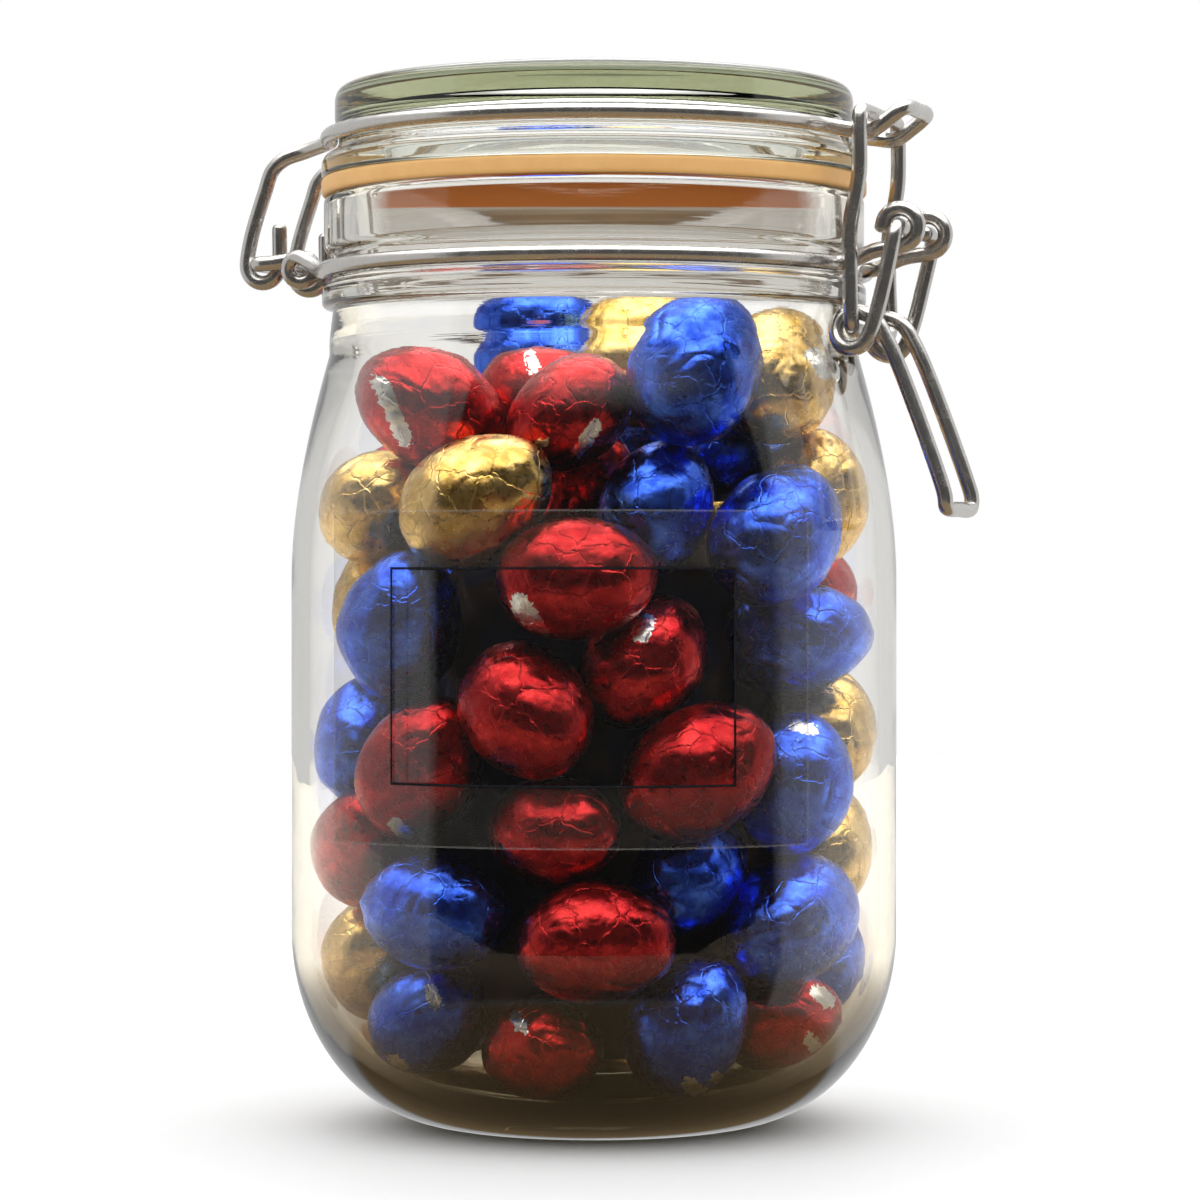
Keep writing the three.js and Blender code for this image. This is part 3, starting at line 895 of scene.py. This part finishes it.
def settle(centres, axes, sizes, seen_count):
    """Pushes the eggs apart and off the wall, while the seen ones are held and the unseen ones sink."""
    seen, unseen = centres[:seen_count], centres[seen_count:]
    anchors = seen.copy()
    sight = unit(anchors - EYE)
    owner = np.repeat(np.arange(len(centres)), len(BALL_OFFSETS))
    size = np.tile(BALL_RADII, len(centres)) * sizes[owner]
    lever = np.tile(BALL_OFFSETS, len(centres))
    apart = owner[:, None] != owner[None, :]
    yielding = np.where(owner < seen_count, SEEN_YIELD, 1.0)
    share = yielding[:, None] / (yielding[:, None] + yielding[None, :])
    for step in range(ROUNDS):
        balls = (centres[:, None, :] + axes[:, None, :] * BALL_OFFSETS[None, :, None]).reshape(-1, 3)
        push = egg_pushes(balls, size, share, apart) + wall_pushes(balls, size)
        move = np.zeros_like(centres)
        turn = np.zeros_like(centres)
        np.add.at(move, owner, push)
        np.add.at(turn, owner, push * lever[:, None] / TURN_RESISTANCE)
        held = move[:seen_count]
        along = (held * sight).sum(1)[:, None] * sight
        held[:] = along + SEEN_SLIP * (held - along)
        turn[:seen_count] = 0
        centres += move
        axes = unit(axes + turn)
        astray = anchors - seen
        astray -= SEEN_DEPTH_FREEDOM * (astray * sight).sum(1)[:, None] * sight
        if step < ROUNDS - UNHELD_ROUNDS:
            seen += SEEN_RETURN * astray
        if step < SINKING_ROUNDS:
            unseen[:, 2] -= SINK
        keep_out_of_sight(unseen)
    return centres, axes


def placed_eggs():
    """Every egg's middle, long direction, size and colour, the ones in sight first."""
    seen, seen_axes, seen_sizes = map(np.array, zip(*(egg_in_sight(*row[1:]) for row in SEEN)))
    spares = EGG_COUNT - len(SEEN)
    sizes = np.concatenate([seen_sizes, rng.uniform(*SPARE_SIZE, spares)])
    centres = np.vstack([seen, spare_eggs(spares, seen)])
    axes = np.vstack([seen_axes, random_directions(spares)])
    centres, axes = settle(centres, axes, sizes, len(SEEN))
    colours = [row[0] for row in SEEN]
    colours += [("red", "blue", "gold")[k] for k in rng.permutation(spares) % 3]
    return centres, axes, sizes, colours


def ball_mesh(subdivisions):
    mesh = bmesh.new()
    bmesh.ops.create_icosphere(mesh, subdivisions=subdivisions, radius=1)
    points = np.array([v.co for v in mesh.verts])
    faces = np.array([[v.index for v in f.verts] for f in mesh.faces])
    mesh.free()
    return unit(points), faces


def random_directions(count):
    return unit(rng.normal(size=(count, 3)))


# Relief of the foil: heights and lengths in mm, a dent's width in radians, each drawn between two limits.
DENTS = 9
DENT_WIDTH = (0.28, 0.5)
DENT_DEPTH = (0.1, 0.42)
CREASES = 26
CREASE_WIDTH = 0.7
CREASE_REACH = (3, 7)
RIDGE_HEIGHT = (0.06, 0.2)
STEP_HEIGHT = (0.03, 0.1)
PLEATS = (9, 14)
PLEAT_HEIGHT = 0.28


def foil_relief(ball, body):
    """How far the foil stands off a smooth egg, in mm: dents, stepped creases, and pleats at the ends."""
    relief = np.zeros(len(ball))
    for direction in random_directions(DENTS):
        near = np.exp(-(np.arccos(np.clip(ball @ direction, -1, 1)) / rng.uniform(*DENT_WIDTH)) ** 2)
        relief -= near * rng.uniform(*DENT_DEPTH)
    for direction, middle in zip(random_directions(CREASES), random_directions(CREASES)):
        centre = middle * EGG_HALVES
        off = (body - centre) @ unit(np.cross(direction, middle))
        off += 0.5 * np.sin(body @ direction * rng.uniform(0.5, 1.1) + rng.uniform(0, 6))
        reach = rng.uniform(*CREASE_REACH)
        near = np.exp(-(np.linalg.norm(body - centre, axis=1) / reach) ** 4)
        ridge = rng.uniform(*RIDGE_HEIGHT) * np.exp(-(off / CREASE_WIDTH) ** 2)
        step = rng.uniform(*STEP_HEIGHT) * np.tanh(off / CREASE_WIDTH)
        relief += near * (ridge - step)
    around = np.arctan2(ball[:, 2], ball[:, 1])
    for end in (-1, 1):
        towards_end = np.clip(end * ball[:, 0], 0, 1)
        gather = towards_end**6 * (1 - towards_end**40)
        pleats = rng.integers(*PLEATS)
        sway = 2 * np.sin(3 * around + rng.uniform(0, 6))
        relief += PLEAT_HEIGHT * gather * np.sin(pleats * around + sway)
    return relief


def egg_shape(ball, size):
    """One egg about its own centre, in mm, long along X and blunter towards -X."""
    width = 1 - rng.uniform(*BLUNTNESS) * ball[:, 0] - 0.03 * ball[:, 0] ** 2
    body = ball * (EGG_HALVES * size)
    body[:, 1:] *= width[:, None]
    return body + ball * foil_relief(ball, body)[:, None]


def facing(axis):
    """Rotation that takes X to a direction, with a random roll about it."""
    side = unit(np.cross(axis, random_directions(1)[0]))
    return np.column_stack([axis, side, np.cross(axis, side)])


# Bare silver in sight: the egg's place in SEEN, then the patch's two ends in the photo and its width in mm.
SILVER_MARKS = [
    (0, (388, 384), (408, 440), 1.3),
    (2, (530, 350), (534, 366), 1.0),
    (3, (578, 452), (596, 424), 1.1),
    (3, (536, 448), (544, 440), 0.9),
    (10, (806, 356), (814, 374), 1.6),
    (6, (806, 356), (818, 372), 1.6),
    (14, (521, 603), (541, 632), 1.5),
    (17, (640, 634), (644, 622), 1.6),
    (21, (400, 824), (410, 834), 1.2),
    (25, (790, 724), (808, 730), 1.0),
    (35, (432, 990), (438, 1004), 1.1),
    (35, (398, 1060), (406, 1070), 1.1),
    (36, (516, 1016), (524, 1028), 1.0),
    (37, (686, 1078), (694, 1084), 1.2),
    (37, (712, 1072), (718, 1078), 1.0),
    (38, (814, 993), (824, 1001), 1.3),
    (38, (804, 1038), (810, 1046), 1.1),
]
FAR_OUTSIDE = -9.0
SPOT_LENGTH = (1.2, 3.6)
SPOT_WIDTH = (0.35, 1.1)


def seen_marks(world, normals, number):
    """Distance in mm inside the silver that the photo shows on one egg, negative outside it."""
    inside = np.full(len(world), FAR_OUTSIDE)
    off = world - EYE
    depth = -off @ TOWARDS_CAMERA
    pixels = np.column_stack([off @ RIGHT, -off @ UP]) / depth[:, None] * FOCAL_PIXELS + AXIS_PIXEL
    for owner, start, end, width in SILVER_MARKS:
        if owner != number:
            continue
        first, stretch = np.array(start, float), np.subtract(end, start).astype(float)
        share = np.clip((pixels - first) @ stretch / (stretch @ stretch), 0, 1)
        away = np.hypot(*(pixels - first - share[:, None] * stretch).T) * depth / FOCAL_PIXELS
        in_view = normals @ TOWARDS_CAMERA > 0.1
        inside = np.maximum(inside, np.where(in_view, width - away, FAR_OUTSIDE))
    return inside


def bare_spots(body, count):
    """Distance in mm inside the nearest patch of bare silver, negative outside every patch."""
    inside = np.full(len(body), FAR_OUTSIDE)
    for middle, heading in zip(random_directions(count), random_directions(count)):
        centre = middle * EGG_HALVES
        off = body - centre
        along = off @ unit(heading - middle * (heading @ middle))
        across = np.sqrt(np.maximum(0, (off**2).sum(1) - along**2))
        length, width = rng.uniform(*SPOT_LENGTH), rng.uniform(*SPOT_WIDTH)
        inside = np.maximum(inside, width - across - np.maximum(0, np.abs(along) - length))
    return inside


FOILS = {
    "red": ((0.36, 0.012, 0.016), (0.60, 0.035, 0.035)),
    "blue": ((0.018, 0.065, 0.60), (0.08, 0.215, 1.0)),
    "gold": ((0.60, 0.36, 0.08), (0.94, 0.65, 0.24)),
}
SILVER = (0.74, 0.73, 0.70)
FOIL_SPACING = 40.0
FOLD_ROUNDING = 0.0006


def folds(nodes, place, scale):
    """Sharp valleys where a noise crosses its middle, as in foil that was crumpled and pressed flat."""
    wave = nodes.noise(place, scale, 0, 0.5, 0.4)
    off = nodes.math("SUBTRACT", wave, 0.5)
    return nodes.math("SQRT", nodes.math("ADD", nodes.product(off, off), FOLD_ROUNDING))


def crack_lines(nodes, place):
    """Thin lines between cells, on a place swayed a little so that they wander."""
    sway = nodes.fill(nodes.add("TexNoise"), Vector=place, Scale=0.35).outputs["Color"]
    spread = nodes.fill(nodes.add("VectorMath", operation="SCALE"), sway, Scale=40).outputs[0]
    cells = nodes.add("TexVoronoi", feature="DISTANCE_TO_EDGE")
    nodes.fill(cells, Vector=nodes.mix("VECTOR", 0.06, place, spread), Scale=0.17)
    return nodes.ramp(cells.outputs["Distance"], 0.0, 0.035)


def foil_look(name, deep, bright):
    """Crinkled coloured foil that shows silver where the colour is rubbed off."""
    look, nodes, shader, _ = material(f"foil_{name}", Metallic=1.0)
    place = nodes.add("Attribute", attribute_name="foil_at").outputs["Vector"]
    bare = nodes.add("Attribute", attribute_name="bare").outputs["Fac"]
    patches = nodes.noise(place, 0.3, 4, 0.6)
    frayed = nodes.math("ADD", bare, nodes.ramp(nodes.noise(place, 1.4, 3), 0, 1, -0.7, 0.7))
    worn = nodes.ramp(frayed, -0.06, 0.06)
    colour = nodes.mix_color(nodes.ramp(patches, 0.3, 0.7), deep, bright)
    dullness = nodes.ramp(nodes.noise(place, 0.8, 4, 0.6), 0.3, 0.7, 0.24, 0.38)
    crumpled = nodes.bump(folds(nodes, place, 0.16), 0.0013, 0.8)
    creased = nodes.bump(folds(nodes, place, 0.42), 0.00024, 0.8, crumpled)
    scored = nodes.bump(crack_lines(nodes, place), 0.00008, 0.8, creased)
    grainy = nodes.bump(nodes.noise(place, 1.2, 2), 0.00003, 0.8, scored)
    nodes.fill(shader, Base_Color=nodes.mix_color(worn, colour, SILVER), Roughness=dullness, Normal=grainy)
    return look


def painted_shade_core_look():
    """Eggs too deep in the heap to make out, as painted shade: near-black foil in blotches of the three
    colours.
    """
    look, nodes, shader, _ = material("deep_foil_painted_shade", Metallic=0.6, Roughness=0.6)
    place = nodes.place()
    # The three foil colours, nearly black: painted shade deep in the heap.
    red, gold, blue = (0.022, 0.002, 0.002), (0.02, 0.012, 0.004), (0.002, 0.004, 0.024)
    warm = nodes.mix_color(nodes.ramp(nodes.noise(place, 45), 0.45, 0.55), red, gold)
    mixed = nodes.mix_color(nodes.ramp(nodes.noise(place, 38), 0.46, 0.54), warm, blue)
    nodes.fill(shader, Base_Color=mixed, Normal=nodes.bump(nodes.noise(place, 220, 4), 0.0006, 0.8))
    return look


CORE_RADIUS = 28
CORE_BOTTOM = 8
CORE_TOP = 106
CORE_LUMPS = 0.09


def make_core():
    """A lumpy middle for the heap, dark with painted shade, hidden behind the eggs that touch the glass."""
    ball, faces = ball_mesh(5)
    tall = (CORE_TOP - CORE_BOTTOM) / 2
    turn = np.arctan2(ball[:, 1], ball[:, 0])
    level = np.sign(ball[:, 2]) * np.abs(ball[:, 2]) ** 1.4
    width = np.sqrt(np.maximum(0, 1 - np.abs(level) ** 5))
    lumps = 1 + CORE_LUMPS * np.sin(7 * turn + 2.4 * np.sin(9 * level)) * np.cos(13 * level)
    flat = np.hypot(ball[:, 0], ball[:, 1]) + 1e-9
    radius = CORE_RADIUS * width * lumps
    points = np.column_stack([ball[:, 0] / flat * radius, ball[:, 1] / flat * radius,
                              (CORE_TOP + CORE_BOTTOM) / 2 + tall * level])
    add_piece("egg_core", points, faces.tolist(), painted_shade_core_look(), "foil", ["egg_heap"])


def off_the_glass(points):
    """Moves an egg inwards until all of it is clear of the glass."""
    for _ in range(4):
        flat = np.column_stack([np.hypot(points[:, 0], points[:, 1]), points[:, 2]])
        outer = (flat[:, 0] > INNER_RADIUS - NEAR_WALL) | (flat[:, 1] < HEEL_HEIGHT)
        if not outer.any():
            break
        inside, inwards = inside_wall(flat[outer])
        worst = inside.argmin()
        if inside[worst] > EGG_CLEARANCE:
            break
        move = inwards[worst] * (EGG_CLEARANCE + 0.02 - inside[worst])
        place = points[outer][worst]
        radial = place[:2] / (np.hypot(*place[:2]) + 1e-9)
        points = points + [move[0] * radial[0], move[0] * radial[1], move[1]]
    return points


def add_point_values(piece, name, kind, field, values):
    made = piece.data.attributes.new(name, kind, "POINT")
    made.data.foreach_set(field, values.astype(np.float32).ravel())


def make_eggs():
    """All the eggs, joined by colour. Each carries its foil's own places and its bare silver."""
    centres, axes, sizes, colours = placed_eggs()
    ball, faces = ball_mesh(4)
    pieces = {colour: [] for colour in FOILS}
    for k, colour in enumerate(colours):
        body = egg_shape(ball, sizes[k])
        bare = bare_spots(body, int(rng.integers(0, 3)))
        turned_to = facing(axes[k])
        world = off_the_glass(body @ turned_to.T + centres[k])
        if k < len(SEEN):
            bare = seen_marks(world, ball @ turned_to.T, k)
        pieces[colour].append((world, body + FOIL_SPACING * k, bare))
    for colour, eggs in pieces.items():
        points, places, bare = (np.concatenate(part) for part in zip(*eggs))
        all_faces = np.concatenate([faces + len(ball) * k for k in range(len(eggs))])
        look = foil_look(colour, *FOILS[colour])
        piece = add_piece(f"eggs_{colour}", points, all_faces.tolist(), look, "foil", ["egg_heap"])
        add_point_values(piece, "foil_at", "FLOAT_VECTOR", "vector", places)
        add_point_values(piece, "bare", "FLOAT", "value", bare)


# ---- Stage ----

FLOOR_RADIUS = 900
FLOOR_BEHIND = 610
FLOOR_DROP = 0.2
PAINTED_SHADOW_REACH = (62, 190)
AHEAD_OF_JAR = (20, 70)


def floor_look():
    """Nearly white to the camera; to all other rays warm in front of the jar and dark brown under it, a
    painted shadow.
    """
    look, nodes, shader, _ = material("floor", Roughness=0.6)
    place = nodes.place()
    from_jar = nodes.measure("DISTANCE", place, TOWARDS_CAMERA * FLOOR_BEHIND * MM)
    under = nodes.ramp_mm(from_jar, *PAINTED_SHADOW_REACH, 1.0, 0.0)
    ray = nodes.add("LightPath")
    reflected = nodes.math("MINIMUM", ray.outputs["Glossy Depth"], 1.0)
    ahead = nodes.dot(place, TOWARDS_CAMERA)
    in_front = nodes.ramp_mm(ahead, *(FLOOR_BEHIND + d for d in AHEAD_OF_JAR))
    pale = nodes.mix_color(nodes.noise(place, 400, 3), (0.92, 0.92, 0.92), (0.94, 0.94, 0.94))
    warm = nodes.mix_color(in_front, pale, (0.42, 0.35, 0.28))
    dim = nodes.mix_color(reflected, warm, (0.60, 0.565, 0.49), "MULTIPLY")
    # Painted shadow: dark brown under the jar, for every ray but the camera's.
    with_painted_shadow = nodes.mix_color(under, dim, (0.10, 0.075, 0.045))
    seen_plainly = ray.outputs["Is Camera Ray"]
    nodes.fill(shader, Base_Color=nodes.mix_color(seen_plainly, with_painted_shadow, pale))
    return look


def make_floor():
    bpy.ops.mesh.primitive_circle_add(vertices=160, radius=FLOOR_RADIUS * MM, fill_type="NGON")
    floor = bpy.context.object
    floor.name = "floor"
    floor.location = -(TOWARDS_CAMERA * FLOOR_BEHIND + UP * FLOOR_DROP) * MM
    floor.data.materials.append(floor_look())
    floor.visible_glossy = False


# The dark part by the camera, as cosines from its direction, with how white the sides are beyond it.
DARK_TO_RIGHT = (0.24, 0.30)
DARK_TO_LEFT = (0.42, 0.46)
RIGHT_WHITE = 0.76
LEFT_WHITE = 0.66
DARK_LEVEL = 0.04

# Sines of the height above the horizon where the sky and the ground start, and where the sky brightens.
SKY = (0.62, 0.75)
GROUND = (-0.5, -0.42)
SKY_GLOW = (0.48, 0.9)
SKY_LIGHT = 4.7
FILL_LIGHT = 1.22


def open_surroundings(nodes, direction, height):
    """1 where reflections find white surroundings, less where they find the dark part by the camera."""
    level = nodes.math("SQRT", nodes.math("SUBTRACT", 1.0, nodes.math("POWER", height, 2.0)))
    ahead = nodes.dot(direction, TOWARDS_CAMERA)
    facing_share = nodes.math("DIVIDE", ahead, nodes.math("MAXIMUM", level, 0.001))
    on_right = nodes.math("MAXIMUM", nodes.math("SIGN", nodes.dot(direction, RIGHT)), 0.0)
    on_left = nodes.math("SUBTRACT", 1.0, on_right)
    right_part = nodes.product(nodes.ramp(facing_share, *DARK_TO_RIGHT, RIGHT_WHITE, 0.0), on_right)
    left_part = nodes.product(nodes.ramp(facing_share, *DARK_TO_LEFT, LEFT_WHITE, 0.0), on_left)
    above = nodes.ramp(height, *SKY)
    return nodes.math("MAXIMUM", nodes.math("ADD", right_part, left_part), above)


def make_world():
    """White surroundings with a dark opening on the camera's side and a brighter sky."""
    world = bpy.data.worlds.new("studio")
    world.use_nodes = True
    world.cycles.sampling_method = "NONE"
    bpy.context.scene.world = world
    nodes = Nodes(world.node_tree)
    direction = nodes.add("TexCoord").outputs["Generated"]
    height = nodes.parts(direction)[2]
    below = nodes.ramp(height, *GROUND, 1.0, 0.0)
    open_part = nodes.math("MAXIMUM", open_surroundings(nodes, direction, height), below)
    glow = nodes.ramp(height, *SKY_GLOW, 1.0, SKY_LIGHT)
    mirrored_light = nodes.product(nodes.ramp(open_part, 0, 1, DARK_LEVEL, 1.0, False), glow)
    ray = nodes.add("LightPath")
    bounced = nodes.math("MINIMUM", ray.outputs["Glossy Depth"], 1.0)
    plain_light = nodes.ramp(ray.outputs["Is Diffuse Ray"], 0, 1, 1.0, FILL_LIGHT, False)
    light = nodes.mix("FLOAT", bounced, plain_light, mirrored_light)
    colour = nodes.mix_color(nodes.product(bounced, below), (1, 1, 1), (0.34, 0.24, 0.13))
    background = nodes.fill(nodes.add("Background"), Color=colour, Strength=light)
    nodes.fill(nodes.add("OutputWorld"), Surface=background.outputs[0])


make_camera()
make_glassware()
make_wires()
make_label()
make_core()
make_eggs()
make_floor()
make_world()
bpy.context.scene.view_settings.view_transform = "Standard"
